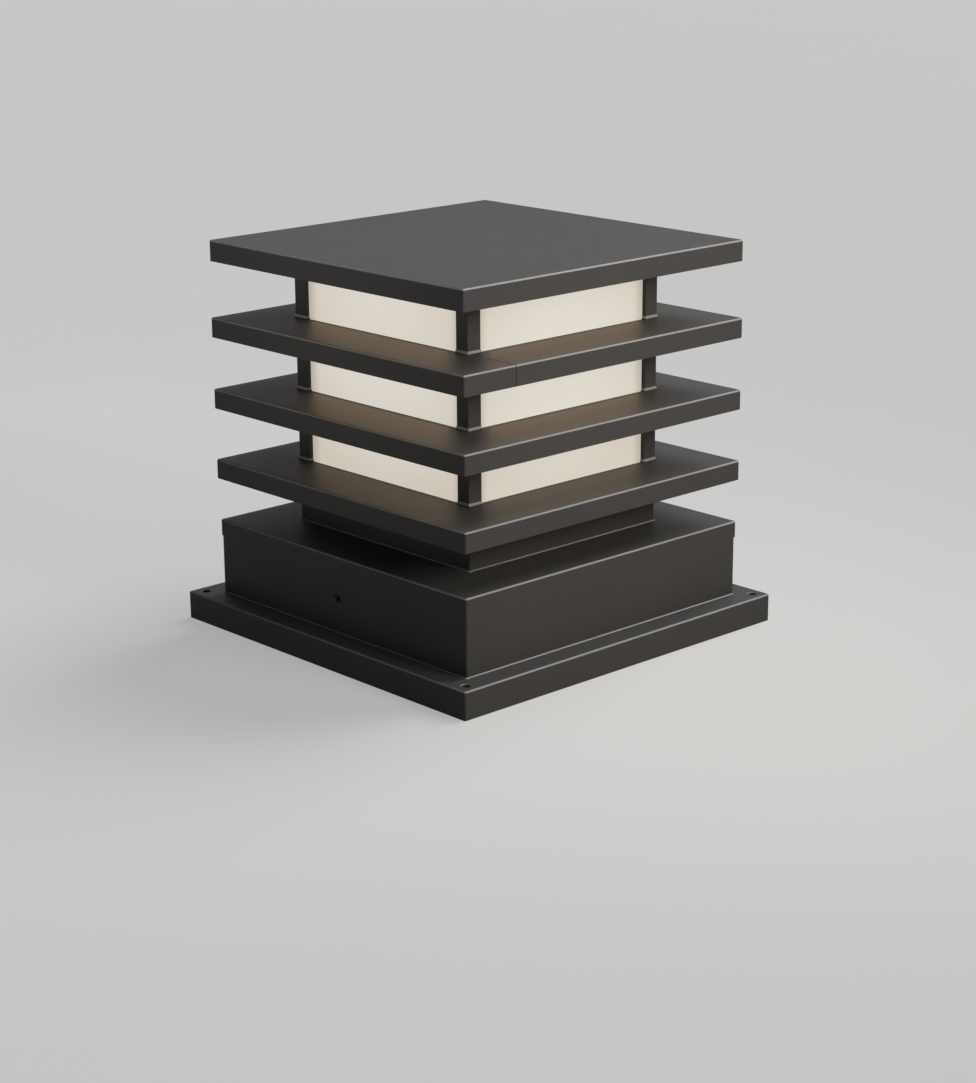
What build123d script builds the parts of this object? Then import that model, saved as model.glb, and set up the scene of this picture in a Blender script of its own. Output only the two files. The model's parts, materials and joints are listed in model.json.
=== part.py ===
from build123d import *
from math import radians, sqrt, tan
import os

# Square pillar light: a louvred lantern that lifts off a flat foot for a gate post or a wall.
# Millimetres, +Z up. The origin is the centre of the foot's underside.
# The front wall faces -Y and holds the clamp screw that shows, the right wall faces +X.

# Folded sheet of the whole housing
sheet = 2.0
edge_round = 1.2
fold_round = 1.0
foot_bead = 0.7
bead_land = 0.1

# Box on the foot: its two far walls stand inside the short lips of the cover
cover_width = 249.0
cover_height = 52.0
lip_height = 11.5

# Foot plate with its anchor holes
plate_height = 19.0
plate_ledge = 17.0
anchor_inset = 8.5
anchor_bore = 6.0
anchor_edge_round = 0.6

# Square neck, corner posts and opal panels
frame_width = 170.5
neck_rise = 29.0
flange_lip = 2.0
post_width = 11.0
post_round = 0.5
post_foot_height = 2.4
post_foot_slope = 1.6
post_foot_flare = 0.4
panel_thickness = 3.0
panel_setback = 3.3
panel_groove = 2.0
panel_play = 0.25

# Louvres and cap
louvre_width = 251.0
louvre_height = 13.5
louvre_gap = 35.4
cap_width = 250.0
cap_height = 14.2
cap_gap = 38.0
seam_width = 0.5
seam_depth = 0.4

# Rods that tie the stack to the cover from below, with flanged nuts
rod_diameter = 4.0
rod_play = 0.3
rod_tail = 3.0
rod_nut_flats = 7.0
rod_nut_height = 4.0
rod_flange_diameter = 9.6
rod_flange_height = 1.0

# Clamp screw, its ring, its nut and the slotted bracket that the nut grips
clamp_rise = 23.0
screw_diameter = 4.0
screw_sunk = 0.4
screw_land = 0.1
screw_play = 0.06
screw_tail = 1.0
screw_socket_flats = 2.5
screw_socket_depth = 1.3
thread_pitch = 0.7
clamp_turns = 3
ring_thickness = 0.7
nut_width = 14.0
nut_height = 10.0
nut_thickness = 4.0
nut_neck_height = 5.0
nut_neck_setback = 0.95
nut_play = 0.15
bracket_width = 40.0
bracket_headroom = 12.0
bracket_foot = 18.0
bracket_play = 0.3
slot_width = 6.4
slot_play = 0.4

# Cable gland in the foot plate, midway between the terminal block and the front bracket
gland_thread = 16.0
gland_wall = 1.5
gland_ledge = 1.0
gland_hex_flats = 22.0
gland_hex_height = 5.0
gland_tail = 10.0
gland_neck = 8.0
gland_nut_height = 4.0
gland_play = 0.15
seal_bore = 9.0
seal_rise = 2.0
dome_wall = 2.0
dome_roof = 2.0
dome_hex_height = 7.0
dome_bevel = 2.5

# Terminal block and its hardware
block_place = -24.0
block_height = 16.0
block_end_wall = 3.7
way_wall = 0.7
barrel_length = 16.0
barrel_wall = 0.9
barrel_inset = 1.0
barrel_play = 0.1
way_screw_diameter = 2.5
way_screw_inset = 3.5
way_screw_sunk = 1.0
driver_slot = 0.6
fixing_diameter = 3.0
fixing_head_diameter = 5.5
fixing_head_height = 2.0
fixing_tail = 2.0
hole_play = 0.1

# Protective earth
stud_place = 48.0
stud_diameter = 5.0
stud_height = 12.0
earth_nut_flats = 8.0
earth_nut_height = 4.0
lug_diameter = 11.0
lug_thickness = 1.0
lug_wall = 0.65
lug_barrel_length = 7.0
lug_tongue = 5.0

# Stand that carries the lampholder
stand_height = 69.0
stand_span = 64.0
stand_width = 30.0
stand_sheet = 2.0
stand_foot = 18.0
stand_screw_diameter = 4.0
stand_screw_head = 8.0
stand_screw_head_height = 3.0
stand_screw_head_round = 1.5
stand_nut_flats = 7.0
stand_nut_height = 3.2

# Screw lampholder
nipple_diameter = 10.0
nipple_wall = 1.5
nipple_grip = 10.0
nipple_tail = 2.0
holder_nut_flats = 14.0
holder_nut_height = 3.0
holder_wall = 6.5
holder_floor = 18.0
holder_round = 2.0
holder_rim_gap = 1.15
shell_wall = 1.0
shell_sunk = 2.0
contact_diameter = 10.0
contact_thickness = 1.2

# Lamp with a 27 mm screw cap
lamp_contact_gap = 0.3
pip_diameter = 9.0
pip_height = 1.2
insulator_height = 3.8
cap_crest_diameter = 26.4
cap_thread_depth = 0.8
cap_thread_play = 0.3
cap_pitch = 3.63
cap_land = 1.21
cap_ridges = 5
cap_skirt_height = 4.5
housing_foot_step = 0.4
housing_height = 29.0
housing_waist = 2.4
globe_diameter = 60.0
globe_wall = 1.5
globe_seat_diameter = 42.8

# Inner leads, and the lengths between the hand-chosen points of their routes
lead_diameter = 2.4
lead_play = 0.1
lead_clamp_play = 0.2
lead_entry = 4.0
lead_bend_share = 0.45
lamp_lead_rise = 18.0
lamp_lead_gather = 20.0
earth_lead_slope = 14.0
earth_lead_flat = 8.0
earth_lead_short = 1.0

# Heights that follow
plate_top = plate_height
plate_under = plate_top - sheet
cover_top = plate_top + cover_height
cover_under = cover_top - sheet
lower_rim = cover_top + neck_rise
lower_top = lower_rim + louvre_height
middle_rim = lower_top + louvre_gap
middle_top = middle_rim + louvre_height
upper_rim = middle_top + louvre_gap
upper_top = upper_rim + louvre_height
cap_rim = upper_top + cap_gap
cap_top = cap_rim + cap_height
cap_under = cap_top - sheet
neck_top = lower_top - sheet

# Widths that follow, and places measured from the middle
cover_half = cover_width / 2
inner_wall = cover_half - sheet
plate_width = cover_width + 2 * plate_ledge
anchor_place = plate_width / 2 - anchor_inset
frame_half = frame_width / 2
opening_half = frame_half - post_width - flange_lip
rod_place = frame_half - post_width / 2
panel_face = frame_half - panel_setback
panel_end = frame_half - post_width + panel_groove
louvre_half = louvre_width / 2

# The clamp's own frame: X along the wall, Y up, Z out of the front wall's face
clamp_height = plate_top + clamp_rise
wall_face = Plane(origin=(0, -cover_half, clamp_height), x_dir=(1, 0, 0), z_dir=(0, -1, 0))
screw_head_height = sheet - screw_sunk - screw_land
screw_head_end = -screw_sunk - screw_head_height
ring_diameter = slot_width - 2 * slot_play
ring_front = -sheet - screw_play
ring_back = ring_front - ring_thickness
bracket_front = -sheet - bracket_play
bracket_back = bracket_front - sheet
bracket_top = cover_under - bracket_headroom
nut_neck_end = bracket_front - nut_neck_setback
nut_front = bracket_back - nut_play
nut_back = nut_front - nut_thickness
screw_end = nut_back - clamp_turns * thread_pitch - screw_tail

# The far clamp is the front one turned round and set back to the face of the wall inside the lip
clamp_ends = {"front": Pos(0, 0, 0), "rear": Pos(0, -sheet, 0) * Rot(0, 0, 180)}

# Terminal block: its ways and the fixing screws between them
barrel_bore = lead_diameter + 2 * lead_clamp_play
barrel_diameter = barrel_bore + 2 * barrel_wall
barrel_height = plate_top + block_height / 2
way_pitch = barrel_diameter + fixing_diameter + 2 * way_wall
way_places = [-way_pitch, 0, way_pitch]
fixing_places = [-way_pitch / 2, way_pitch / 2]
way_screw_spread = barrel_length / 2 - way_screw_inset
block_half = way_pitch + barrel_diameter / 2 + block_end_wall
block_far_end = block_place - barrel_length / 2 - barrel_inset
block_near_end = block_place + barrel_length / 2 + barrel_inset

# Gland
bracket_foot_end = bracket_foot - cover_half - bracket_front
gland_place = (block_far_end + bracket_foot_end) / 2
seal_diameter = gland_thread - 2 * gland_wall
gland_bore = seal_diameter - 2 * gland_ledge
dome_flats = gland_thread + 2 * dome_wall
dome_height = gland_neck + seal_rise + dome_roof

# Stand, lampholder and lamp
stand_top = plate_top + stand_height
stand_screw_places = [side * (stand_span + stand_foot) / 2 for side in (-1, 1)]
holder_seat = stand_top + holder_floor
shell_bore = cap_crest_diameter + 2 * cap_thread_play
shell_diameter = shell_bore + 2 * shell_wall
holder_diameter = shell_diameter + 2 * holder_wall
nipple_bore = nipple_diameter - 2 * nipple_wall
pip_low = holder_seat + contact_thickness + lamp_contact_gap
pip_high = pip_low + pip_height
lamp_cap_low = pip_high + insulator_height
lamp_cap_top = lamp_cap_low + cap_ridges * cap_pitch + cap_skirt_height
holder_top = lamp_cap_top - holder_rim_gap
lamp_lead_place = (nipple_bore - lead_diameter) / 2 - lead_play

# The four corners, and the four sides as turns from the front
corners = {"front_left": (-1, -1), "front_right": (1, -1), "rear_right": (1, 1), "rear_left": (-1, 1)}
sides = {side: 90 * step for step, side in enumerate(("front", "right", "rear", "left"))}

os.makedirs("parts", exist_ok=True)
upright = (Align.CENTER, Align.CENTER, Align.MIN)


def save(name, *solids):
    """Writes one node, a single solid or a group of identical ones."""
    shape = solids[0] if len(solids) == 1 else Compound(children=list(solids))
    export_step(shape, f"parts/{name}.step")


def block(low, high):
    """A box between two opposite corners."""
    size = [top - bottom for bottom, top in zip(low, high)]
    return Pos(*low) * Box(*size, align=(Align.MIN, Align.MIN, Align.MIN))


def square(width, low, high):
    """A square prism about the middle, between two heights."""
    return Pos(0, 0, low) * Box(width, width, high - low, align=upright)


def round_bar(diameter, low, high):
    """A round bar about the Z axis, between two heights."""
    return Pos(0, 0, low) * Cylinder(diameter / 2, high - low, align=upright)


def hex_bar(flats, low, high):
    """A hexagonal bar about the Z axis, given across its flats."""
    return Pos(0, 0, low) * extrude(RegularPolygon(flats / 2, 6, major_radius=False), high - low)


def tube(outside, inside, low, high):
    """A round tube about the Z axis, between two heights."""
    return round_bar(outside, low, high) - round_bar(inside, low, high)


def turned(*edges):
    """A turned solid from the edges of its half section, drawn in X and Z."""
    return revolve(make_face(Curve() + list(edges)), axis=Axis.Z)


def at_corners(place, shape):
    """The same shape at all four corners."""
    return [Pos(x * place, y * place, 0) * shape for x, y in corners.values()]


def without(body, tools):
    """A body with every tool cut away."""
    for tool in tools:
        body -= tool
    return body


def rounded_square(width, low, high):
    """A square prism whose upright and upper edges are rounded like a folded sheet's."""
    body = square(width, low, high)
    body = fillet(body.edges().filter_by(Axis.Z), edge_round)
    return fillet(body.faces().sort_by(Axis.Z)[-1].edges(), edge_round)


def tray(width, low, high):
    """A folded sheet tray, open below."""
    return rounded_square(width, low, high) - square(width - 2 * sheet, low, high - sheet)


def folded(body, along, inside, outside, thickness):
    """A bent strip with its fold rounded, given a point on the inner and on the outer edge."""
    for point, radius in ((inside, fold_round), (outside, fold_round + thickness)):
        body = fillet(body.edges().filter_by(along).sort_by_distance(point)[0], radius)
    return body


def bead(width, low):
    """The small sloped bead along the foot of a square wall of that width."""
    body = square(width + 2 * foot_bead, low, low + foot_bead)
    body = chamfer(body.faces().sort_by(Axis.Z)[-1].edges(), foot_bead - bead_land)
    return body - square(width - sheet, low, low + foot_bead)


def screwdriver_slot(width, low, high):
    """The cut of a screwdriver's slot across a screw head about the Z axis."""
    return block((-width, -driver_slot / 2, low), (width, driver_slot / 2, high))


rod_holes = at_corners(rod_place, round_bar(rod_diameter + 2 * rod_play, 0, cap_under))


# Foot


def make_base_plate():
    """Tray that stands on the pillar, bored for the anchors, the gland and the screws inside."""
    body = tray(plate_width, 0, plate_top)
    body = without(body, at_corners(anchor_place, round_bar(anchor_bore, 0, plate_top)))
    body = fillet(body.edges().filter_by(GeomType.CIRCLE).group_by(Axis.Z)[-1], anchor_edge_round)
    body -= Pos(0, gland_place, 0) * round_bar(gland_thread + 2 * gland_play, 0, plate_top)
    for x in stand_screw_places:
        body -= Pos(x, 0, 0) * round_bar(stand_screw_diameter + 2 * hole_play, 0, plate_top)
    for x in fixing_places:
        body -= Pos(x, block_place, 0) * round_bar(fixing_diameter + hole_play, 0, plate_top)
    return body


def make_bracket():
    """Slotted upstand behind the front wall, welded to the foot plate."""
    half = bracket_width / 2
    outer = -cover_half - bracket_front
    inner = -cover_half - bracket_back
    body = block((-half, outer, plate_top), (half, inner, bracket_top))
    body += block((-half, outer, plate_top), (half, bracket_foot_end, plate_top + sheet))
    body = folded(body, Axis.X, (0, inner, plate_top + sheet), (0, outer, plate_top), sheet)
    slot_end = clamp_height - nut_neck_height / 2
    slot = block((-slot_width / 2, outer, slot_end), (slot_width / 2, inner, bracket_top))
    arc = Plane(origin=(0, outer, slot_end), z_dir=(0, 1, 0)) * round_bar(slot_width, 0, sheet)
    return body - slot - arc


def make_gland():
    """Body, lock nut, seal and dome nut of the cable gland, about the Z axis."""
    low = plate_top - gland_tail
    hex_top = plate_top + gland_hex_height
    neck_end = hex_top + gland_neck
    seal_end = neck_end + seal_rise
    body = round_bar(gland_thread, low, neck_end) + hex_bar(gland_hex_flats, plate_top, hex_top)
    body -= round_bar(gland_bore, low, neck_end)
    body -= round_bar(seal_diameter + gland_play, hex_top, neck_end)
    nut_low = plate_under - gland_nut_height
    lock_nut = hex_bar(gland_hex_flats, nut_low, plate_under)
    lock_nut -= round_bar(gland_thread + gland_play, nut_low, plate_under)
    seal = tube(seal_diameter, seal_bore, hex_top, seal_end)
    dome_low = hex_top + gland_play
    dome_top = dome_low + dome_height
    dome = hex_bar(dome_flats, dome_low, dome_low + dome_hex_height)
    crown = round_bar(dome_flats, dome_low + dome_hex_height, dome_top)
    dome += chamfer(crown.edges().sort_by(Axis.Z)[-1], dome_bevel)
    dome -= round_bar(gland_thread + gland_play, dome_low, seal_end + gland_play)
    dome -= round_bar(gland_bore, dome_low, dome_top)
    return body, lock_nut, seal, dome


def make_terminal_block():
    """Moulded three-way block, open at both ends of each way and above each screw."""
    top = plate_top + block_height
    body = block((-block_half, block_far_end, plate_top), (block_half, block_near_end, top))
    along = Plane(origin=(0, 0, barrel_height), z_dir=(0, 1, 0))
    channel = along * round_bar(barrel_diameter + 2 * barrel_play, block_far_end, block_near_end)
    well = round_bar(way_screw_diameter + 2 * barrel_play, barrel_height, top)
    for x in way_places:
        body -= Pos(x, 0, 0) * channel
        for side in (-1, 1):
            body -= Pos(x, block_place + side * way_screw_spread, 0) * well
    for x in fixing_places:
        body -= Pos(x, block_place, 0) * round_bar(fixing_diameter + 2 * hole_play, plate_top, top)
    return body


def make_terminal_hardware():
    """Brass barrels of the three ways, the screws that bear on the leads, and the fixing screws."""
    top = plate_top + block_height
    along = Plane(origin=(0, 0, barrel_height), z_dir=(0, 1, 0))
    low, high = block_far_end + barrel_inset, block_near_end - barrel_inset
    barrel = along * tube(barrel_diameter, barrel_bore, low, high)
    head = top - way_screw_sunk
    screw = round_bar(way_screw_diameter, barrel_height + barrel_bore / 2, head)
    screw -= screwdriver_slot(way_screw_diameter, head - driver_slot, head)
    screw_rows = [block_place - way_screw_spread, block_place + way_screw_spread]
    for y in screw_rows:
        barrel -= Pos(0, y, 0) * round_bar(way_screw_diameter + barrel_play, barrel_height, top)
    fixing_top = top + fixing_head_height
    fixing = round_bar(fixing_diameter, plate_under - fixing_tail, top)
    fixing += round_bar(fixing_head_diameter, top, fixing_top)
    fixing -= screwdriver_slot(fixing_head_diameter, fixing_top - 2 * driver_slot, fixing_top)
    barrels = [Pos(x, 0, 0) * barrel for x in way_places]
    screws = [Pos(x, y, 0) * screw for x in way_places for y in screw_rows]
    fixings = [Pos(x, block_place, 0) * fixing for x in fixing_places]
    return barrels, screws, fixings


def make_lead(points):
    """A round insulated lead along straight runs, with each bend as large as its two runs allow."""
    runs = [Vector(end) - Vector(start) for start, end in zip(points, points[1:])]
    radii = []
    for before, after in zip(runs, runs[1:]):
        shorter = min(before.length, after.length)
        radii.append(lead_bend_share * shorter / tan(radians(before.get_angle(after) / 2)))
    print("lead bend radii:", [round(radius, 1) for radius in radii])
    route = FilletPolyline(*points, radius=radii)
    return sweep(Plane(origin=route @ 0, z_dir=route % 0) * Circle(lead_diameter / 2), path=route)


def make_earth():
    """Welded stud, crimped lug and nut of the protective earth, and the lead to the middle way."""
    lug_top = plate_top + lug_thickness
    nut_top = lug_top + earth_nut_height
    stud = round_bar(stud_diameter, plate_top, plate_top + stud_height)
    lug_barrel_diameter = lead_diameter + lead_play + 2 * lug_wall
    half = lug_barrel_diameter / 2
    barrel_axis = plate_top + half
    tongue_start = -lug_diameter / 2 - lug_tongue
    barrel_end = tongue_start + lug_tongue / 2
    barrel_start = barrel_end - lug_barrel_length
    lug = round_bar(lug_diameter, plate_top, lug_top)
    lug += block((-half, tongue_start, plate_top), (half, 0, lug_top))
    along = Plane(origin=(0, 0, barrel_axis), z_dir=(0, 1, 0))
    lug += along * round_bar(lug_barrel_diameter, barrel_start, barrel_end)
    lug -= along * round_bar(lead_diameter + lead_play, barrel_start, barrel_end)
    lug -= round_bar(stud_diameter + 2 * hole_play, plate_top, lug_top)
    nut = hex_bar(earth_nut_flats, lug_top, nut_top)
    nut -= round_bar(stud_diameter + 2 * hole_play, lug_top, nut_top)
    drop = stud_place + barrel_start - earth_lead_flat
    lead = make_lead(
        [
            (0, block_near_end - lead_entry, barrel_height),
            (0, drop - earth_lead_slope, barrel_height),
            (0, drop, barrel_axis),
            (0, stud_place + barrel_end - earth_lead_short, barrel_axis),
        ]
    )
    seat = Pos(0, stud_place, 0)
    return seat * stud, seat * lug, seat * nut, lead


def make_lamp_lead(side):
    """The lead from one outer way up through the nipple into the lampholder's floor."""
    way = side * way_pitch
    inside = side * lamp_lead_place
    return make_lead(
        [
            (way, block_near_end - lead_entry, barrel_height),
            (way, 0, barrel_height),
            (way, 0, barrel_height + lamp_lead_rise),
            (inside, 0, stand_top - lamp_lead_gather),
            (inside, 0, holder_seat),
        ]
    )


def make_lamp_stand():
    """Strip folded to a bridge over the terminal leads, with a foot at each side."""
    span, half = stand_span / 2, stand_width / 2
    foot_top = plate_top + stand_sheet
    body = block((-span, -half, plate_top), (span, half, stand_top))
    body += block((-span - stand_foot, -half, plate_top), (span + stand_foot, half, foot_top))
    clear = span - stand_sheet
    under = stand_top - stand_sheet
    body -= block((-clear, -half, plate_top), (clear, half, under))
    for side in (-1, 1):
        wall, inner = side * span, side * clear
        body = folded(body, Axis.Y, (inner, 0, under), (wall, 0, stand_top), stand_sheet)
        body = folded(body, Axis.Y, (wall, 0, foot_top), (inner, 0, plate_top), stand_sheet)
    for x in stand_screw_places:
        body -= Pos(x, 0, 0) * round_bar(stand_screw_diameter + 2 * hole_play, plate_top, foot_top)
    return body - round_bar(nipple_diameter + 2 * hole_play, plate_top, stand_top)


def make_stand_fixings():
    """Pan-head screws through the stand's feet, with nuts under the foot plate."""
    seat = plate_top + stand_sheet
    head_top = seat + stand_screw_head_height
    low = plate_under - stand_nut_height
    head = round_bar(stand_screw_head, seat, head_top)
    head = fillet(head.edges().sort_by(Axis.Z)[-1], stand_screw_head_round)
    head -= screwdriver_slot(stand_screw_head, head_top - 2 * driver_slot, head_top)
    screw = head + round_bar(stand_screw_diameter, low, seat)
    nut = hex_bar(stand_nut_flats, low, plate_under)
    nut -= round_bar(stand_screw_diameter + 2 * hole_play, low, plate_under)
    return [[Pos(x, 0, 0) * shape for x in stand_screw_places] for shape in (screw, nut)]


def make_lampholder():
    """Nipple, nut, porcelain body, threaded shell and centre contact."""
    nut_top = stand_top - stand_sheet
    nut_low = nut_top - holder_nut_height
    nipple_high = stand_top + nipple_grip
    nipple = tube(nipple_diameter, nipple_bore, nut_low - nipple_tail, nipple_high)
    nut = hex_bar(holder_nut_flats, nut_low, nut_top)
    nut -= round_bar(nipple_diameter + 2 * hole_play, nut_low, nut_top)
    body = round_bar(holder_diameter, stand_top, holder_top)
    body = fillet(body.edges().filter_by(GeomType.CIRCLE), holder_round)
    body -= round_bar(shell_diameter + 2 * hole_play, holder_seat, holder_top)
    body -= round_bar(nipple_diameter + 2 * hole_play, stand_top, nipple_high)
    for side in (-1, 1):
        hole = round_bar(lead_diameter + 2 * lead_play, nipple_high, holder_seat)
        body -= Pos(side * lamp_lead_place, 0, 0) * hole
    shell = tube(shell_diameter, shell_bore, holder_seat, holder_top - shell_sunk)
    contact = round_bar(contact_diameter, holder_seat, holder_seat + contact_thickness)
    return nipple, nut, body, shell, contact


# Lamp


def make_lamp_contact():
    """Centre pip and the cone of insulation under the screw cap."""
    root = cap_crest_diameter / 2 - cap_thread_depth
    cone = Cone(pip_diameter / 2, root, insulator_height, align=upright)
    return round_bar(pip_diameter, pip_low, pip_high) + Pos(0, 0, pip_high) * cone


def make_lamp_cap():
    """Screw cap with its rolled ridges and a plain skirt above them."""
    crest = cap_crest_diameter / 2
    root = crest - cap_thread_depth
    edges = [Line((0, 0, lamp_cap_low), (root, 0, lamp_cap_low))]
    height = lamp_cap_low
    for _ in range(cap_ridges):
        land = height + cap_land
        edges.append(Line((root, 0, height), (root, 0, land)))
        height += cap_pitch
        edges.append(ThreePointArc((root, 0, land), (crest, 0, (land + height) / 2), (root, 0, height)))
    shoulder = height + cap_land
    edges.append(Line((root, 0, height), (crest, 0, shoulder)))
    edges.append(Line((crest, 0, shoulder), (crest, 0, lamp_cap_top)))
    edges.append(Line((crest, 0, lamp_cap_top), (0, 0, lamp_cap_top)))
    edges.append(Line((0, 0, lamp_cap_top), (0, 0, lamp_cap_low)))
    return turned(*edges)


def make_lamp_head():
    """Flared housing with the hollow globe on it."""
    top = lamp_cap_top + housing_height
    foot = cap_crest_diameter / 2 + housing_foot_step
    seat = globe_seat_diameter / 2
    waist = ((foot + seat) / 2 - housing_waist, 0, (lamp_cap_top + top) / 2)
    housing = turned(
        Line((0, 0, lamp_cap_top), (foot, 0, lamp_cap_top)),
        ThreePointArc((foot, 0, lamp_cap_top), waist, (seat, 0, top)),
        Line((seat, 0, top), (0, 0, top)),
        Line((0, 0, top), (0, 0, lamp_cap_top)),
    )
    radius = globe_diameter / 2
    centre = Pos(0, 0, top + sqrt(radius**2 - seat**2))
    globe = centre * Sphere(radius) - centre * Sphere(radius - globe_wall)
    return housing, globe - square(2 * globe_diameter, 0, top)


# Lantern


def make_base_cover():
    """Top of the box with its front and right walls, and short lips along the two far sides."""
    body = tray(cover_width, plate_top, cover_top) + bead(cover_width, plate_top)
    far = cover_half + 2 * foot_bead
    lip_low = cover_top - lip_height
    body -= block((-far, -far, plate_top), (-inner_wall, far, lip_low))
    body -= block((-far, inner_wall, plate_top), (far, far, lip_low))
    body -= square(2 * opening_half, cover_under, cover_top)
    return without(body, rod_holes) - clamp_ends["front"] * make_screw_hole()


def make_rear_wall():
    """Angled sheet that closes the left and rear sides inside the cover's lips."""
    body = square(2 * inner_wall, plate_top, cover_under)
    body = fillet(body.edges().filter_by(Axis.Z).sort_by(Axis.X)[0:2].sort_by(Axis.Y)[-1], edge_round)
    body += bead(2 * inner_wall, plate_top)
    inside = inner_wall - sheet
    body -= block((-inside, -cover_half, plate_top), (cover_half, inside, cover_under))
    body -= block((-cover_half, -cover_half, plate_top), (cover_half, -inner_wall, cover_under))
    body -= block((inner_wall, -cover_half, plate_top), (cover_half, cover_half, cover_under))
    return body - clamp_ends["rear"] * make_screw_hole()


def make_neck():
    """Square tube with an inward flange at each end and a bead along its foot."""
    body = square(frame_width, cover_top, neck_top)
    body = fillet(body.edges().filter_by(Axis.Z), edge_round)
    body += bead(frame_width, cover_top)
    body -= square(frame_width - 2 * sheet, cover_top + sheet, neck_top - sheet)
    body -= square(2 * opening_half, cover_top, neck_top)
    return without(body, rod_holes)


def panel_space(turn, play):
    """The space of one panel, in the grooves of its posts, grown by some play."""
    low = (-panel_end - play, -panel_face - play, neck_top - play)
    high = (panel_end + play, panel_thickness - panel_face + play, cap_under + play - panel_play)
    return Rot(0, 0, turn) * block(low, high)


def make_louvre(low, high):
    """Folded ring whose opening clears the panels and keeps a tab under each post."""
    body = tray(louvre_width, low, high)
    long, short = panel_face + panel_play, panel_end + panel_play
    body -= block((-long, -short, low), (long, short, high))
    body -= block((-short, -long, low), (short, long, high))
    return without(body, rod_holes)


def make_seam(low, high):
    """The butt seam that shows on the upper louvre, from the right front post to the rim and down it."""
    line = -panel_face - panel_play
    near, far = line - seam_width / 2, line + seam_width / 2
    top = block((panel_face, near, high - seam_depth), (louvre_half, far, high))
    return top + block((louvre_half - seam_depth, near, low), (louvre_half, far, high))


def make_post(x, y, low, high):
    """Bored corner post with a sloped foot and a groove for each of its two panels."""
    body = Pos(0, 0, low) * Box(post_width, post_width, high - low, align=upright)
    body = fillet(body.edges().filter_by(Axis.Z), post_round)
    foot_width = post_width + 2 * post_foot_flare
    foot = Pos(0, 0, low) * Box(foot_width, foot_width, post_foot_height, align=upright)
    foot_top = foot.faces().sort_by(Axis.Z)[-1]
    body += chamfer(foot_top.edges(), post_foot_flare, post_foot_slope, reference=foot_top)
    body -= round_bar(rod_diameter + 2 * rod_play, low, high)
    body = Pos(x * rod_place, y * rod_place, 0) * body
    return without(body, [panel_space(turn, panel_play) for turn in sides.values()])


def make_tie_rods():
    """Long weld studs under the cap that run down through the posts, and their flanged nuts."""
    flange_low = cover_under - rod_flange_height
    nut_low = cover_under - rod_nut_height
    bar = round_bar(rod_diameter, nut_low - rod_tail, cap_under)
    nut = round_bar(rod_flange_diameter, flange_low, cover_under)
    nut += hex_bar(rod_nut_flats, nut_low, flange_low)
    nut -= round_bar(rod_diameter + hole_play, nut_low, cover_under)
    return at_corners(rod_place, bar), at_corners(rod_place, nut)


# Clamp screws, made at the front wall


def make_screw_hole():
    """Countersunk hole for the clamp screw, through one wall."""
    seat = screw_diameter / 2 + screw_play
    sink = Cone(seat, seat - screw_head_end, -screw_head_end, align=upright)
    return wall_face * (round_bar(2 * seat, -sheet, 0) + Pos(0, 0, screw_head_end) * sink)


def make_screw():
    """Countersunk screw with a hexagon socket, sunk a little into the wall."""
    shank = screw_diameter / 2
    head = Cone(shank, shank + screw_head_height, screw_head_height, align=upright)
    body = Pos(0, 0, screw_head_end) * head + round_bar(screw_diameter, screw_end, screw_head_end)
    return wall_face * (body - hex_bar(screw_socket_flats, -screw_sunk - screw_socket_depth, 0))


def make_screw_ring():
    """Ring that keeps the loose screw in the wall, narrower than the bracket's slot."""
    return wall_face * tube(ring_diameter, screw_diameter + screw_play, ring_back, ring_front)


def make_clamp_nut():
    """Slot nut behind the bracket, kept from turning by its neck in the slot."""
    across, up = nut_width / 2, nut_height / 2
    body = block((-across, -up, nut_back), (across, up, nut_front))
    across, up = slot_width / 2 - slot_play, nut_neck_height / 2
    body += block((-across, -up, nut_front), (across, up, nut_neck_end))
    return wall_face * (body - round_bar(screw_diameter + 2 * screw_play, nut_back, nut_neck_end))


# Foot
save("base_plate", make_base_plate())
for end, facing in clamp_ends.items():
    save(f"{end}_bracket", facing * make_bracket())
    save(f"{end}_screw", facing * make_screw())
    save(f"{end}_screw_ring", facing * make_screw_ring())
    save(f"{end}_clamp_nut", facing * make_clamp_nut())
for name, shape in zip(("body", "lock_nut", "seal", "dome_nut"), make_gland()):
    save(f"gland_{name}", Pos(0, gland_place, 0) * shape)
save("terminal_block", make_terminal_block())
for name, group in zip(("barrels", "screws", "fixing_screws"), make_terminal_hardware()):
    save(f"terminal_{name}", *group)
for name, shape in zip(("stud", "lug", "nut", "lead"), make_earth()):
    save(f"earth_{name}", shape)
save("lamp_leads", *[make_lamp_lead(side) for side in (-1, 1)])
save("lamp_stand", make_lamp_stand())
for name, group in zip(("screws", "nuts"), make_stand_fixings()):
    save(f"lamp_stand_{name}", *group)
holder_names = ("holder_nipple", "holder_nut", "lampholder_body", "lampholder_shell", "lampholder_contact")
for name, shape in zip(holder_names, make_lampholder()):
    save(name, shape)

# Lamp
save("lamp_contact", make_lamp_contact())
save("lamp_cap", make_lamp_cap())
for name, shape in zip(("housing", "globe"), make_lamp_head()):
    save(f"lamp_{name}", shape)

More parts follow.
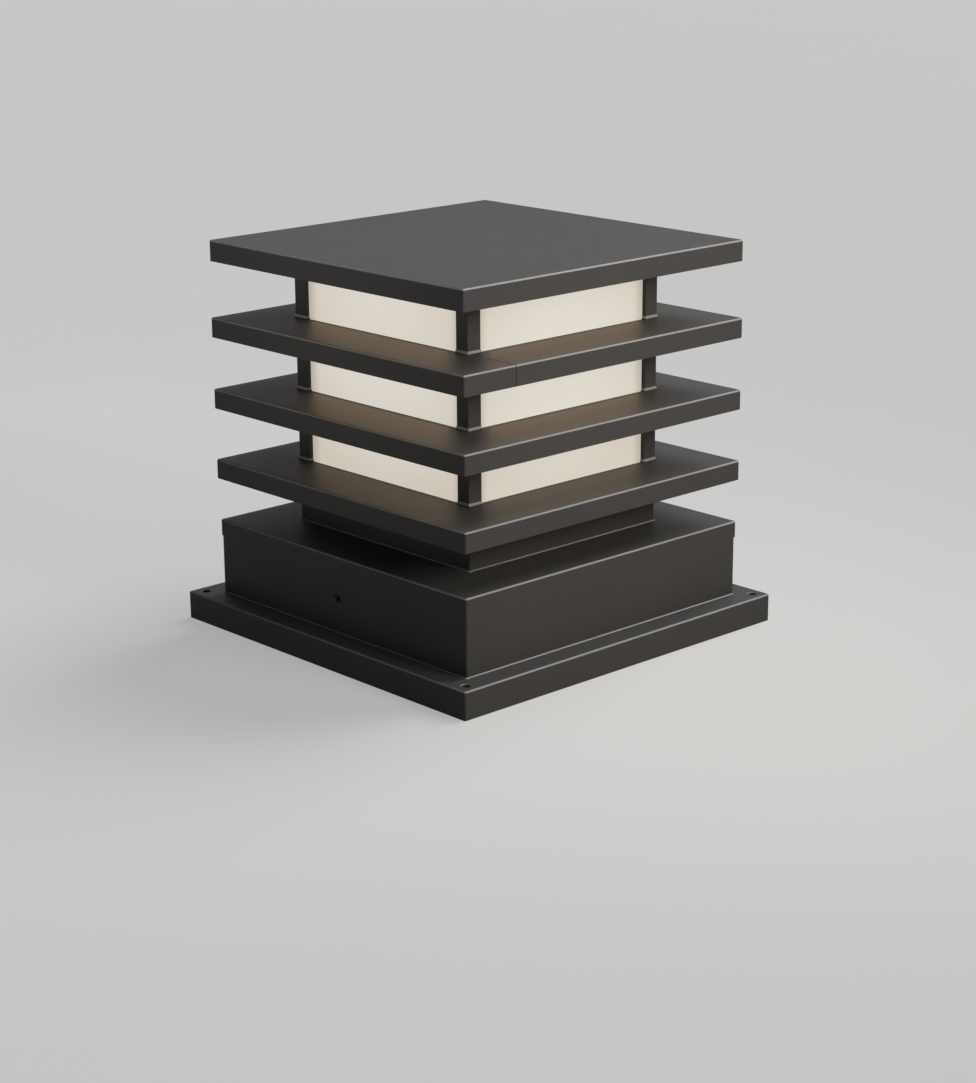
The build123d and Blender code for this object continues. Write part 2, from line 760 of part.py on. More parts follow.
# Lantern, from the box up
save("base_cover", make_base_cover())
save("rear_wall", make_rear_wall())
save("neck", make_neck())
save("louvre_lower", make_louvre(lower_rim, lower_top))
save("louvre_middle", make_louvre(middle_rim, middle_top))
save("louvre_upper", make_louvre(upper_rim, upper_top) - make_seam(upper_rim, upper_top))
tiers = {
    "lower": (lower_top, middle_top - sheet),
    "middle": (middle_top, upper_top - sheet),
    "upper": (upper_top, cap_under),
}
for tier, (low, high) in tiers.items():
    for corner, (x, y) in corners.items():
        save(f"post_{tier}_{corner}", make_post(x, y, low, high))
for side, turn in sides.items():
    save(f"diffuser_{side}", panel_space(turn, 0))
save("top_cap", tray(cap_width, cap_rim, cap_top))
for name, group in zip(("tie_rods", "tie_rod_nuts"), make_tie_rods()):
    save(name, *group)
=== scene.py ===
import json
from math import cos, pi, radians, sin, tau
import bmesh
import bpy
from mathutils import Euler, Matrix, Vector


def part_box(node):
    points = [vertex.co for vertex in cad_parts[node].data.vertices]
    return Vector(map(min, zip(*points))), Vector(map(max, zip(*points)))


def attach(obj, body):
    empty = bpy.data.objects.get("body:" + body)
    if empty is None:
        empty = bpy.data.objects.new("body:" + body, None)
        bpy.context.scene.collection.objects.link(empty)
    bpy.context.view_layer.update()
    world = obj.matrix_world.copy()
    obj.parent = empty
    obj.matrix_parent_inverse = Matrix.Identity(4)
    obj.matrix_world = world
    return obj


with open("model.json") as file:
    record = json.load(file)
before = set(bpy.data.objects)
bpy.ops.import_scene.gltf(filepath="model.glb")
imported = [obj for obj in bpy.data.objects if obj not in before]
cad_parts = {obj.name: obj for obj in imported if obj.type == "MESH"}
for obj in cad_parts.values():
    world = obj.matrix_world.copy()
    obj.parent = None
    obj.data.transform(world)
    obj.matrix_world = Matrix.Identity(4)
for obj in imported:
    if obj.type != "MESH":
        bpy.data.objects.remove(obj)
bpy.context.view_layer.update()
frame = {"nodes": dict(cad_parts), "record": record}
MM = 0.001

# Camera of the picture: turned round the light, tilted down, rolled a little and aimed low on the foot.
# Its places are in metres, its lens and sensor in millimetres.
camera_turn = radians(47.169)
camera_tilt = radians(16.563)
camera_roll = radians(-0.389)
camera_distance = 1.65743
camera_aside = 0.007147
camera_aim_height = 0.05544
camera_lens = 80.439
camera_sensor = 36.0
camera_reach = 100.0

# Light: a soft key from behind and above, and softboxes at the right, left and back that aim at the cap.
# The back one only fills the shade, so it makes no gleam. Places and sizes are in metres, powers in watts.
key_turn = radians(-7.0)
key_height = radians(49.0)
key_spread = radians(40.0)
key_strength = 2.78
key_colour = "f6f9ff"
box_aim_height = 0.262
softboxes = {
    "right_box": {
        "place": (0.88, 0.08, 0.56), "power": 1.38, "colour": "fff6ea",
        "spread": radians(74.0), "size": 0.4, "gleam": True,
    },
    "left_box": {
        "place": (-0.1, -0.95, 0.42), "power": 0.064, "colour": "fffdf8",
        "spread": radians(24.0), "size": 0.25, "gleam": True,
    },
    "back_box": {
        "place": (-0.95, 0.2, 0.16), "power": 0.3, "colour": "fffdf8",
        "spread": radians(74.0), "size": 0.25, "gleam": False,
    },
}

# Surround and floor: dim in the light that they throw, pale to the eye. The floor's half width is in metres,
# its fibre and the margin inside the foot's edge in millimetres.
surround_strength = 0.02
surround_colour = "f4f6ff"
backdrop_colour = "cacaca"
floor_colour = "8f8d89"
floor_grain_colour = "94928e"
floor_paleness = 0.37
floor_half = 30.0
floor_fibre = 400.0
foot_margin = 2.0

# The lamp's light that leaves the panels, warms the louvres and shows in their gloss: how far it starts
# from the panels in millimetres, its share of their width, and its power in each tier
glow_clear = 3.6
glow_width = 0.885
glow_powers = {"upper": 0.0138, "middle": 0.0145, "lower": 0.0074}
glow_colour = "ffcb8c"

# Shading of a lit panel: it dims between two distances from the middle of the globe, and over a short stretch
# at each end, in millimetres. The clouds and the end shade are shares of the way to the dimmer colour.
panel_near = 82.0
panel_far = 125.0
panel_cloud = 0.12
panel_end = 9.0
panel_end_shade = 0.5

# Threads of the bare ends, in millimetres
rod_pitch = 0.7
rod_diameter = 4.0
stud_pitch = 0.8
gland_pitch = 1.5
gland_diameter = 16.0
nipple_pitch = 1.0
fixing_pitch = 0.5
fixing_diameter = 3.0
fixing_head = 5.5
fixing_tail = 2.0

# A thread's ridge: its steps in a turn, and its height and half width in pitches. Of that height, one share
# is sunk in the bar, one stands at the very ends, and the last is gained in a turn from there.
ridge_steps = 28
ridge_height = 0.3
ridge_half = 0.4
ridge_sunk = 0.3
ridge_end = 0.1
ridge_growth = 3.0

# Welds along the ends of the brackets' feet, in millimetres. The ripple's depth and the profile are shares
# of the leg, and a bead swells over a few steps.
weld_leg = 1.8
weld_ripple = 1.2
weld_ripple_depth = 0.07
weld_step = 0.2
weld_clear = 1.0
weld_fold_clear = 4.0
weld_swell = 6
weld_profile = (
    (-0.2, -0.2), (1.0, -0.2), (0.96, 0.2), (0.72, 0.56), (0.56, 0.72), (0.2, 0.96), (-0.2, 1.0),
)


def linear(code):
    """An sRGB hex colour as linear red, green, blue and alpha."""
    channels = [int(code[place:place + 2], 16) / 255 for place in (0, 2, 4)]
    curve = [part / 12.92 if part <= 0.04045 else ((part + 0.055) / 1.055) ** 2.4 for part in channels]
    return curve + [1.0]


def per_metre(size):
    """Texture scale for a pattern whose features are that many millimetres apart."""
    return 1 / (size * MM)


def add(tree, kind, inputs=None, **settings):
    """Adds one node with its settings, its fixed inputs and its links."""
    made = tree.nodes.new(kind)
    for name, value in settings.items():
        setattr(made, name, value)
    for socket, value in (inputs or {}).items():
        if isinstance(value, bpy.types.NodeSocket):
            tree.links.new(value, made.inputs[socket])
        else:
            made.inputs[socket].default_value = value
    return made


def start_finish(name, **fixed):
    """A new material, its node tree, its shader with the fixed values set, and the object's own coordinates."""
    finish = bpy.data.materials.new(name)
    finish.use_nodes = True
    tree = finish.node_tree
    surface = tree.nodes["Principled BSDF"]
    for socket, value in fixed.items():
        surface.inputs[socket.replace("_", " ")].default_value = value
    place = add(tree, "ShaderNodeTexCoord").outputs["Object"]
    return finish, tree, surface, place


def distances_aside(tree, place):
    """How far a point is from the light's two upright middle planes, as the two inputs of a node."""
    split = add(tree, "ShaderNodeSeparateXYZ", {"Vector": place}).outputs
    aside = [add(tree, "ShaderNodeMath", {0: split[axis]}, operation="ABSOLUTE") for axis in "XY"]
    return {0: aside[0].outputs["Value"], 1: aside[1].outputs["Value"]}


def mottle(tree, surface, pattern, dark, light):
    """Base colour that wanders between two close colours."""
    blend = add(tree, "ShaderNodeMix", {0: pattern, 6: linear(dark), 7: linear(light)}, data_type="RGBA")
    tree.links.new(blend.outputs[2], surface.inputs["Base Color"])


def vary_roughness(tree, surface, pattern, low, high):
    """Roughness that wanders between two values."""
    span = add(tree, "ShaderNodeMapRange", {"Value": pattern, "To Min": low, "To Max": high})
    tree.links.new(span.outputs["Result"], surface.inputs["Roughness"])


def relief(tree, surface, pattern, depth, strength):
    """Fine relief of a real depth in millimetres."""
    bump = add(tree, "ShaderNodeBump", {"Height": pattern, "Distance": depth * MM, "Strength": strength})
    tree.links.new(bump.outputs["Normal"], surface.inputs["Normal"])


# Finishes


def powder_coated_aluminium(name, fold_highlight_colour):
    """Aluminium sheet sprayed with fine powder and stoved: a dark satin grain that spreads each highlight."""
    finish, tree, surface, place = start_finish(name, IOR=1.5, Specular_IOR_Level=0.15)
    # The film's thickness drifts over some 45 mm, seen as a very faint mottling
    drift = add(tree, "ShaderNodeTexNoise", {"Vector": place, "Scale": per_metre(45), "Detail": 3.0})
    coat = {0: drift.outputs["Fac"], 6: linear("3e3d3c"), 7: linear("454443")}
    coat = add(tree, "ShaderNodeMix", coat, data_type="RGBA")
    # Folds that face up and out are painted paler: a painted highlight standing in for the light's gleam on their
    # rounded edges. The slope is 0 on flat and upright faces, and greatest in the middle of a fold.
    fold_middle = 0.2
    facing = add(tree, "ShaderNodeTexCoord").outputs["Normal"]
    upward = add(tree, "ShaderNodeSeparateXYZ", {"Vector": facing}).outputs["Z"]
    outward = add(tree, "ShaderNodeMath", {0: 1.0, 1: upward}, operation="SUBTRACT").outputs["Value"]
    slope = add(tree, "ShaderNodeMath", {0: upward, 1: outward}, operation="MULTIPLY").outputs["Value"]
    fold = add(tree, "ShaderNodeMapRange", {"Value": slope, "From Max": fold_middle}).outputs["Result"]
    painted_fold_highlight = {0: fold, 6: coat.outputs[2], 7: linear(fold_highlight_colour)}
    painted_fold_highlight = add(tree, "ShaderNodeMix", painted_fold_highlight, data_type="RGBA")
    tree.links.new(painted_fold_highlight.outputs[2], surface.inputs["Base Color"])
    flow = add(tree, "ShaderNodeTexNoise", {"Vector": place, "Scale": per_metre(7), "Detail": 2.0})
    vary_roughness(tree, surface, flow.outputs["Fac"], 0.5, 0.6)
    # The powder's grit is 0.2 mm, drawn at 0.8 mm so that it shows
    grit = add(tree, "ShaderNodeTexNoise", {"Vector": place, "Scale": per_metre(0.8), "Detail": 1.0})
    relief(tree, surface, grit.outputs["Fac"], 0.06, 0.5)
    return finish


def opal_acrylic_panel():
    """Extruded opal acrylic lit from inside: a nearly even warm white that fades towards the posts."""
    finish, tree, surface, place = start_finish("opal_acrylic_panel", IOR=1.49, Emission_Strength=1.0)
    low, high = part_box("lamp_globe")
    away = add(tree, "ShaderNodeVectorMath", {0: place, 1: (low + high) / 2}, operation="SUBTRACT")
    reach = add(tree, "ShaderNodeVectorMath", {0: away.outputs["Vector"]}, operation="LENGTH")
    span = {"Value": reach.outputs["Value"], "From Min": panel_near * MM, "From Max": panel_far * MM}
    fade = add(tree, "ShaderNodeMapRange", span, interpolation_type="SMOOTHSTEP")
    # Pigment clouds of about 30 mm keep the sheet from looking flat
    cloud = add(tree, "ShaderNodeTexNoise", {"Vector": place, "Scale": per_metre(30), "Detail": 2.0})
    span = {"Value": cloud.outputs["Fac"], "To Min": -panel_cloud, "To Max": panel_cloud}
    soft = add(tree, "ShaderNodeMapRange", span)
    both = {0: fade.outputs["Result"], 1: soft.outputs["Result"]}
    uneven = add(tree, "ShaderNodeMath", both, operation="ADD")
    glow = {0: uneven.outputs["Value"], 6: linear("d5cfc4"), 7: linear("cbc3b5")}
    lit = add(tree, "ShaderNodeMix", glow, data_type="RGBA")
    # The posts stand in the lamp's way over the last millimetres of each panel
    along = add(tree, "ShaderNodeMath", distances_aside(tree, place), operation="MINIMUM")
    post_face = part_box("post_upper_front_right")[0].x
    span = {"Value": along.outputs["Value"], "From Min": post_face - panel_end * MM, "From Max": post_face}
    span["To Max"] = panel_end_shade
    end = add(tree, "ShaderNodeMapRange", span, interpolation_type="SMOOTHSTEP")
    ends = {0: end.outputs["Result"], 6: lit.outputs[2], 7: linear("9c9182")}
    shaded = add(tree, "ShaderNodeMix", ends, data_type="RGBA")
    tree.links.new(shaded.outputs[2], surface.inputs["Emission Color"])
    mottle(tree, surface, cloud.outputs["Fac"], "565657", "5c5c5d")
    vary_roughness(tree, surface, cloud.outputs["Fac"], 0.3, 0.4)
    return finish


def zinc_plated_steel():
    """Steel fastenings, zinc plated and passivated: bluish silver with a faint straw bloom."""
    finish, tree, surface, place = start_finish("zinc_plated_steel", Metallic=1.0)
    bloom = add(tree, "ShaderNodeTexNoise", {"Vector": place, "Scale": per_metre(5), "Detail": 3.0})
    mottle(tree, surface, bloom.outputs["Fac"], "aeb4bc", "c9c7bb")
    vary_roughness(tree, surface, bloom.outputs["Fac"], 0.3, 0.46)
    crystal = add(tree, "ShaderNodeTexNoise", {"Vector": place, "Scale": per_metre(0.6), "Detail": 2.0})
    relief(tree, surface, crystal.outputs["Fac"], 0.02, 0.4)
    return finish


def black_oxide_steel():
    """Turned steel screws, blackened in a hot oxide bath: near black, oily satin."""
    finish, tree, surface, place = start_finish("black_oxide_steel", Metallic=1.0)
    stain = add(tree, "ShaderNodeTexNoise", {"Vector": place, "Scale": per_metre(1.5), "Detail": 3.0})
    mottle(tree, surface, stain.outputs["Fac"], "0f0f11", "1b1b1c")
    vary_roughness(tree, surface, stain.outputs["Fac"], 0.34, 0.5)
    return finish


def natural_nylon():
    """Moulded nylon with no pigment: milky ivory, light soaks a little way in."""
    fixed = {"IOR": 1.53, "Subsurface_Weight": 0.2, "Subsurface_Scale": 0.8 * MM}
    finish, tree, surface, place = start_finish("natural_nylon", **fixed)
    flow = add(tree, "ShaderNodeTexNoise", {"Vector": place, "Scale": per_metre(6), "Detail": 2.0})
    mottle(tree, surface, flow.outputs["Fac"], "d8d1bd", "e6e0d0")
    vary_roughness(tree, surface, flow.outputs["Fac"], 0.4, 0.52)
    spark = add(tree, "ShaderNodeTexNoise", {"Vector": place, "Scale": per_metre(0.3), "Detail": 1.0})
    relief(tree, surface, spark.outputs["Fac"], 0.02, 0.4)
    return finish


def black_nylon():
    """Moulded black nylon from a spark-eroded mould: charcoal with a fine dry grain."""
    finish, tree, surface, place = start_finish("black_nylon", IOR=1.53)
    flow = add(tree, "ShaderNodeTexNoise", {"Vector": place, "Scale": per_metre(8), "Detail": 2.0})
    mottle(tree, surface, flow.outputs["Fac"], "1b1b1c", "242425")
    vary_roughness(tree, surface, flow.outputs["Fac"], 0.42, 0.56)
    spark = add(tree, "ShaderNodeTexNoise", {"Vector": place, "Scale": per_metre(0.4), "Detail": 1.0})
    relief(tree, surface, spark.outputs["Fac"], 0.03, 0.5)
    return finish


def moulded_rubber():
    """Moulded EPDM rubber: dull black with a grey bloom."""
    finish, tree, surface, place = start_finish("moulded_rubber", IOR=1.52)
    bloom = add(tree, "ShaderNodeTexNoise", {"Vector": place, "Scale": per_metre(3), "Detail": 3.0})
    mottle(tree, surface, bloom.outputs["Fac"], "141414", "262524")
    vary_roughness(tree, surface, bloom.outputs["Fac"], 0.72, 0.9)
    return finish


def drawn_brass():
    """Drawn and turned brass: warm yellow metal with fine rings round the draw."""
    finish, tree, surface, place = start_finish("drawn_brass", Metallic=1.0)
    tarnish = add(tree, "ShaderNodeTexNoise", {"Vector": place, "Scale": per_metre(7), "Detail": 3.0})
    mottle(tree, surface, tarnish.outputs["Fac"], "b08a43", "d1ab5e")
    vary_roughness(tree, surface, tarnish.outputs["Fac"], 0.2, 0.36)
    # Tool marks 0.1 mm apart, drawn at 0.5 mm so that they show
    marks = {"Vector": place, "Scale": per_metre(0.5) / tau}
    rings = add(tree, "ShaderNodeTexWave", marks, bands_direction="Z")
    relief(tree, surface, rings.outputs["Fac"], 0.01, 0.3)
    return finish


def tinned_copper():
    """Stamped copper dipped in tin: soft grey-white metal."""
    finish, tree, surface, place = start_finish("tinned_copper", Metallic=1.0)
    run = add(tree, "ShaderNodeTexNoise", {"Vector": place, "Scale": per_metre(2.5), "Detail": 2.0})
    mottle(tree, surface, run.outputs["Fac"], "bdb8ae", "d2cfc8")
    vary_roughness(tree, surface, run.outputs["Fac"], 0.26, 0.42)
    return finish


def earth_insulation():
    """Extruded PVC in two colours: green with a yellow stripe along one side."""
    finish, tree, surface, place = start_finish("earth_insulation", IOR=1.54)
    # The two colours run into each other over 0.1 mm
    stripe_start, stripe_full = 0.25 * MM, 0.35 * MM
    split = add(tree, "ShaderNodeSeparateXYZ", {"Vector": place})
    edge = {"Value": split.outputs["X"], "From Min": stripe_start, "From Max": stripe_full}
    stripe = add(tree, "ShaderNodeMapRange", edge)
    mottle(tree, surface, stripe.outputs["Result"], "3f8a2c", "e3cf2e")
    scuff = add(tree, "ShaderNodeTexNoise", {"Vector": place, "Scale": per_metre(4), "Detail": 2.0})
    vary_roughness(tree, surface, scuff.outputs["Fac"], 0.36, 0.5)
    return finish


def silicone_insulation():
    """Extruded white silicone: dull, slightly dusty, stands the lamp's heat."""
    finish, tree, surface, place = start_finish("silicone_insulation", IOR=1.43)
    dust = add(tree, "ShaderNodeTexNoise", {"Vector": place, "Scale": per_metre(5), "Detail": 3.0})
    mottle(tree, surface, dust.outputs["Fac"], "d6d3cb", "e9e7e1")
    vary_roughness(tree, surface, dust.outputs["Fac"], 0.52, 0.68)
    return finish


def glazed_porcelain():
    """Pressed porcelain, glazed and fired: white, glossy, very slightly wavy."""
    fixed = {"IOR": 1.5, "Coat_Weight": 0.5, "Coat_Roughness": 0.05}
    finish, tree, surface, place = start_finish("glazed_porcelain", **fixed)
    body = add(tree, "ShaderNodeTexNoise", {"Vector": place, "Scale": per_metre(12), "Detail": 2.0})
    mottle(tree, surface, body.outputs["Fac"], "e2ded4", "efece5")
    vary_roughness(tree, surface, body.outputs["Fac"], 0.1, 0.2)
    relief(tree, surface, body.outputs["Fac"], 0.1, 0.3)
    return finish


def rolled_aluminium_cap():
    """Thin aluminium rolled into a screw cap: bright, a little scuffed on the crests."""
    finish, tree, surface, place = start_finish("rolled_aluminium_cap", Metallic=1.0)
    scuff = add(tree, "ShaderNodeTexNoise", {"Vector": place, "Scale": per_metre(2), "Detail": 4.0})
    mottle(tree, surface, scuff.outputs["Fac"], "bfc0c2", "dadbdc")
    vary_roughness(tree, surface, scuff.outputs["Fac"], 0.18, 0.34)
    return finish


def black_glass():
    """Black glass pressed round the centre contact: deep and shiny."""
    finish, tree, surface, place = start_finish("black_glass", IOR=1.52)
    seed = add(tree, "ShaderNodeTexNoise", {"Vector": place, "Scale": per_metre(3), "Detail": 2.0})
    mottle(tree, surface, seed.outputs["Fac"], "0d0d10", "17171b")
    vary_roughness(tree, surface, seed.outputs["Fac"], 0.05, 0.14)
    return finish


def lamp_neck_plastic():
    """Moulded white polycarbonate over a heat sink: satin and clean."""
    finish, tree, surface, place = start_finish("lamp_neck_plastic", IOR=1.58)
    flow = add(tree, "ShaderNodeTexNoise", {"Vector": place, "Scale": per_metre(14), "Detail": 2.0})
    mottle(tree, surface, flow.outputs["Fac"], "dfddd7", "e8e7e2")
    vary_roughness(tree, surface, flow.outputs["Fac"], 0.3, 0.42)
    return finish


def lit_opal_globe():
    """Blown opal polycarbonate with the lamp on: warm white, a touch deeper at its foot."""
    finish, tree, surface, place = start_finish("lit_opal_globe", IOR=1.58, Emission_Strength=1.0)
    low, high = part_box("lamp_globe")
    split = add(tree, "ShaderNodeSeparateXYZ", {"Vector": place})
    rise = {"Value": split.outputs["Z"], "From Min": low.z, "From Max": (low.z + high.z) / 2}
    climb = add(tree, "ShaderNodeMapRange", rise, interpolation_type="SMOOTHSTEP")
    glow = {0: climb.outputs["Result"], 6: linear("c9b490"), 7: linear("ebdfca")}
    lit = add(tree, "ShaderNodeMix", glow, data_type="RGBA")
    tree.links.new(lit.outputs[2], surface.inputs["Emission Color"])
    cloud = add(tree, "ShaderNodeTexNoise", {"Vector": place, "Scale": per_metre(20), "Detail": 2.0})
    mottle(tree, surface, cloud.outputs["Fac"], "8f8b84", "9a968f")
    vary_roughness(tree, surface, cloud.outputs["Fac"], 0.3, 0.4)
    return finish


finishes = {
    # 909090 is the painted highlight on the coat's up-facing folds
    "coated_aluminium": powder_coated_aluminium("powder_coated_aluminium", "909090"),
    "opal_acrylic": opal_acrylic_panel(),
    "zinc_steel": zinc_plated_steel(),
    "black_steel": black_oxide_steel(),
    "natural_nylon": natural_nylon(),
    "black_nylon": black_nylon(),
    "epdm_seal": moulded_rubber(),
    "brass": drawn_brass(),
    "tinned_copper": tinned_copper(),
    "earth_pvc": earth_insulation(),
    "silicone_lead": silicone_insulation(),
    "porcelain": glazed_porcelain(),
    "lamp_cap_aluminium": rolled_aluminium_cap(),
    "lamp_insulator": black_glass(),
    "lamp_housing_plastic": lamp_neck_plastic(),
    "lamp_opal": lit_opal_globe(),
}
# The welds take the same coat, with a dimmer painted highlight on their up-facing slopes
weld_finish = powder_coated_aluminium("powder_coated_weld", "4a4948")
for row in frame["record"]["subparts"]:
    dressed = frame["nodes"][row["node"]].data.materials
    dressed.clear()
    dressed.append(finishes[row["material_slot"]])


# Small pieces


def make_piece(name, body, slot, shape, finish=None):
    """Turns a finished shape into a smooth piece of the object that moves with one body."""
    mesh = bpy.data.meshes.new(name)
    bmesh.ops.recalc_face_normals(shape, faces=shape.faces)
    shape.to_mesh(mesh)
    shape.free()
    mesh.materials.append(finish or finishes[slot])
    mesh.shade_smooth()
    piece = bpy.data.objects.new(name, mesh)
    bpy.context.scene.collection.objects.link(piece)
    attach(piece, body)


def add_rings(shape, rings):
    """Skins a closed row of rings of points, one after the other, and closes both ends."""
    rows = [[shape.verts.new(point) for point in ring] for ring in rings]
    count = len(rows[0])
    for before, after in zip(rows, rows[1:]):
        for step in range(count):
            beside = (step + 1) % count
            shape.faces.new((before[step], before[beside], after[beside], after[step]))
    shape.faces.new(rows[0][::-1])
    shape.faces.new(rows[-1])


def add_thread(shape, axis_place, radius, pitch, low, high):
    """A screw thread's ridge round an upright bar, run out to nothing at both ends."""
    x, y = axis_place
    height = ridge_height * pitch * MM
    half = ridge_half * pitch * MM
    turns = (high - low - 2 * half) / (pitch * MM)
    steps = int(turns * ridge_steps)
    rings = []
    for step in range(steps + 1):
        turn = tau * step / ridge_steps
        z = low + half + pitch * MM * step / ridge_steps
        run_out = min(1.0, ridge_growth * min(step, steps - step) / ridge_steps + ridge_end)
        outward = Vector((cos(turn), sin(turn), 0))
        root = Vector((x, y, z)) + outward * (radius - ridge_sunk * height)
        crest = Vector((x, y, z)) + outward * (radius + height * run_out)
        rise = Vector((0, 0, half))
        rings.append((root - rise, crest, root + rise))
    add_rings(shape, rings)


def add_weld(shape, start, end, aside):
    """A rippled fillet weld between two points, in the corner of a plate and an edge on it."""
    count = int((end - start).length / (weld_step * MM))
    rings = []
    for step in range(count + 1):
        swell = min(1.0, (min(step, count - step) + 1) / weld_swell) ** 0.5
        ripple = 1 + weld_ripple_depth * cos(tau * step * weld_step / weld_ripple)
        leg = weld_leg * MM * swell * ripple
        root = start.lerp(end, step / count)
        rings.append([root + Vector((aside * out * leg, 0, up * leg)) for out, up in weld_profile])
    add_rings(shape, rings)


def make_welds():
    """Welds that hold the two ends of each bracket's foot to the plate."""
    shape = bmesh.new()
    for bracket in ("front_bracket", "rear_bracket"):
        low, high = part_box(bracket)
        inner, outer = sorted((low.y, high.y), key=abs)
        inner += (outer - inner) * weld_clear * MM / abs(outer - inner)
        outer -= (outer - inner) * weld_fold_clear * MM / abs(outer - inner)
        for x, aside in ((low.x, -1), (high.x, 1)):
            add_weld(shape, Vector((x, inner, low.z)), Vector((x, outer, low.z)), aside)
    make_piece("bracket_welds", "foot", "coated_aluminium", shape, weld_finish)


def make_threads():
    """Threads on the ends that stick out of their nuts."""
    rod_low, rod_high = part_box("tie_rods")
    rod_radius = rod_diameter / 2 * MM
    rod_sides = (rod_low.x + rod_radius, rod_high.x - rod_radius)
    rod_ends = (rod_low.y + rod_radius, rod_high.y - rod_radius)
    rods = [(x, y) for x in rod_sides for y in rod_ends]
    stud_low, stud_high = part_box("earth_stud")
    stud_middle = (stud_low + stud_high) / 2
    gland_low, gland_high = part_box("gland_body")
    gland_middle = (gland_low + gland_high) / 2
    nipple_low, nipple_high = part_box("holder_nipple")
    nipple_radius = (nipple_high.x - nipple_low.x) / 2
    fixing_low, fixing_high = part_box("terminal_fixing_screws")
    fixing_reach = (fixing_high.x - fixing_low.x - fixing_head * MM) / 2
    fixing_middle = (fixing_low.y + fixing_high.y) / 2
    bare_ends = {
        "tie_rod_threads": {
            "body": "lantern", "slot": "zinc_steel", "pitch": rod_pitch, "places": rods,
            "radius": rod_radius, "low": rod_low.z, "high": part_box("tie_rod_nuts")[0].z,
        },
        "earth_stud_thread": {
            "body": "foot", "slot": "zinc_steel", "pitch": stud_pitch, "places": [stud_middle.xy],
            "radius": (stud_high.x - stud_low.x) / 2, "low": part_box("earth_nut")[1].z, "high": stud_high.z,
        },
        "gland_tail_thread": {
            "body": "foot", "slot": "black_nylon", "pitch": gland_pitch, "places": [gland_middle.xy],
            "radius": gland_diameter / 2 * MM, "low": gland_low.z, "high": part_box("gland_lock_nut")[0].z,
        },
        "nipple_thread": {
            "body": "foot", "slot": "zinc_steel", "pitch": nipple_pitch, "places": [(0, 0)],
            "radius": nipple_radius, "low": nipple_low.z, "high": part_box("holder_nut")[0].z,
        },
        "terminal_fixing_threads": {
            "body": "foot", "slot": "zinc_steel", "pitch": fixing_pitch,
            "places": [(side * fixing_reach, fixing_middle) for side in (-1, 1)],
            "radius": fixing_diameter / 2 * MM, "low": fixing_low.z, "high": fixing_low.z + fixing_tail * MM,
        },
    }
    for name, bare in bare_ends.items():
        shape = bmesh.new()
        for place in bare["places"]:
            add_thread(shape, place, bare["radius"], bare["pitch"], bare["low"], bare["high"])
        make_piece(name, bare["body"], bare["slot"], shape)


make_threads()
make_welds()


# Stage


def seen_directly(tree):
    """1 for rays by which the eye, a gloss or clear plastic sees, and 0 for the light that falls on things."""
    rays = add(tree, "ShaderNodeLightPath").outputs
    direct = {0: rays["Is Camera Ray"], 1: rays["Is Glossy Ray"]}
    seen = add(tree, "ShaderNodeMath", direct, operation="ADD", use_clamp=True)
    through = {0: seen.outputs["Value"], 1: rays["Is Transmission Ray"]}
    return add(tree, "ShaderNodeMath", through, operation="ADD", use_clamp=True).outputs["Value"]


def make_floor():
    """Seamless paper under the light, paler to the eye than the light that it throws back."""
    finish, tree, surface, place = start_finish("studio_paper", IOR=1.4, Specular_IOR_Level=0.1)
    fibre = add(tree, "ShaderNodeTexNoise", {"Vector": place, "Scale": per_metre(floor_fibre), "Detail": 3.0})
    mottle(tree, surface, fibre.outputs["Fac"], floor_colour, floor_grain_colour)
    # No light gets under the foot, so the floor isn't pale through the anchor holes
    reach = add(tree, "ShaderNodeMath", distances_aside(tree, place), operation="MAXIMUM")
    foot_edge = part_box("base_plate")[1].x
    span = {"Value": reach.outputs["Value"], "From Min": foot_edge - foot_margin * MM, "From Max": foot_edge}
    span["To Max"] = floor_paleness
    beside = add(tree, "ShaderNodeMapRange", span).outputs["Result"]
    pale = add(tree, "ShaderNodeMath", {0: seen_directly(tree), 1: beside}, operation="MULTIPLY")
    surface.inputs["Emission Color"].default_value = linear("ffffff")
    tree.links.new(pale.outputs["Value"], surface.inputs["Emission Strength"])
    vary_roughness(tree, surface, fibre.outputs["Fac"], 0.85, 0.95)
    shape = bmesh.new()
    bmesh.ops.create_grid(shape, x_segments=1, y_segments=1, size=floor_half)
    mesh = bpy.data.meshes.new("floor")
    shape.to_mesh(mesh)
    shape.free()
    mesh.materials.append(finish)
    floor = bpy.data.objects.new("floor", mesh)
    bpy.context.scene.collection.objects.link(floor)


def make_surround():
    """Dim even light from all round, and the pale backdrop that the camera and shiny metal see."""
    world = bpy.data.worlds.new("studio")
    world.use_nodes = True
    bpy.context.scene.world = world
    tree = world.node_tree
    dim = tree.nodes["Background"]
    dim.inputs["Color"].default_value = linear(surround_colour)
    dim.inputs["Strength"].default_value = surround_strength
    pale = add(tree, "ShaderNodeBackground", {"Color": linear(backdrop_colour), "Strength": 1.0})
    parts = {0: seen_directly(tree), 1: dim.outputs["Background"], 2: pale.outputs["Background"]}
    mixed = add(tree, "ShaderNodeMixShader", parts)
    tree.links.new(mixed.outputs["Shader"], tree.nodes["World Output"].inputs["Surface"])


def make_light(name, kind, power, colour, **settings):
    """One lamp of the studio, with its own settings."""
    lamp = bpy.data.lights.new(name, kind)
    lamp.energy = power
    lamp.color = linear(colour)[:3]
    for setting, value in settings.items():
        setattr(lamp, setting, value)
    light = bpy.data.objects.new(name, lamp)
    bpy.context.scene.collection.objects.link(light)
    return light


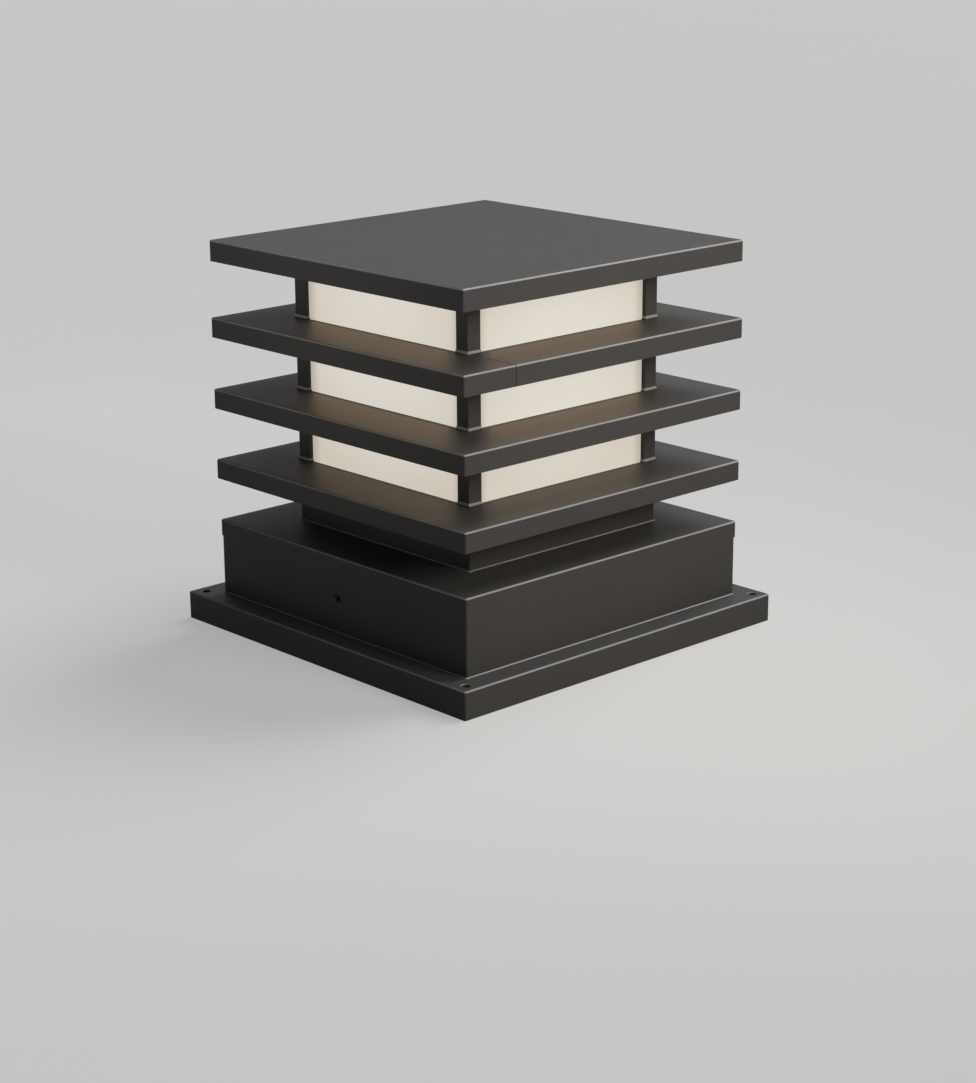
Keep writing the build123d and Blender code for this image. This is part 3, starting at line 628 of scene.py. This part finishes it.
def make_studio_lights():
    """A key so far away that its light is even over the floor, and softboxes near the light."""
    key = make_light("key", "SUN", key_strength, key_colour, angle=key_spread)
    key.rotation_euler = Euler((pi / 2 - key_height, 0, pi + key_turn))
    aim = Vector((0, 0, box_aim_height))
    for name, box in softboxes.items():
        shape = {"size": box["size"], "spread": box["spread"]}
        light = make_light(name, "AREA", box["power"], box["colour"], **shape)
        light.location = box["place"]
        light.rotation_euler = (light.location - aim).to_track_quat("Z", "Y").to_euler()
        light.visible_camera = False
        light.visible_glossy = box["gleam"]


def make_glow():
    """The warm light that leaves each panel of each tier, carried by the lantern."""
    low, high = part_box("diffuser_right")
    width = glow_width * (high.y - low.y)
    face = high.x + glow_clear * MM
    outward = Matrix.Rotation(-pi / 2, 4, "Y")
    above = {"lower": "louvre_middle", "middle": "louvre_upper", "upper": "top_cap"}
    for tier, power in glow_powers.items():
        bottom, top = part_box(f"louvre_{tier}")[1].z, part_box(above[tier])[0].z
        size = {"shape": "RECTANGLE", "size": top - bottom, "size_y": width}
        for side in range(4):
            glow = make_light(f"glow_{tier}_{side}", "AREA", power, glow_colour, **size)
            turn = Matrix.Rotation(side * pi / 2, 4, "Z")
            glow.matrix_world = turn @ Matrix.Translation((face, 0, (bottom + top) / 2)) @ outward
            glow.visible_camera = False
            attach(glow, "lantern")


def make_camera():
    """The picture's camera, from its turn, tilt, roll and distance."""
    lens = bpy.data.cameras.new("camera")
    lens.sensor_fit = "VERTICAL"
    lens.sensor_width = camera_sensor
    lens.sensor_height = camera_sensor
    lens.lens = camera_lens
    lens.clip_end = camera_reach
    camera = bpy.data.objects.new("camera", lens)
    level = Euler((pi / 2 - camera_tilt, 0, camera_turn)).to_matrix()
    held = level @ Matrix.Rotation(camera_roll, 3, "Z")
    aim = level.col[0] * camera_aside + Vector((0, 0, camera_aim_height))
    camera.matrix_world = Matrix.Translation(aim + held.col[2] * camera_distance) @ held.to_4x4()
    bpy.context.scene.collection.objects.link(camera)
    bpy.context.scene.camera = camera


make_floor()
make_surround()
make_studio_lights()
make_glow()
make_camera()
bpy.context.scene.view_settings.view_transform = "Standard"
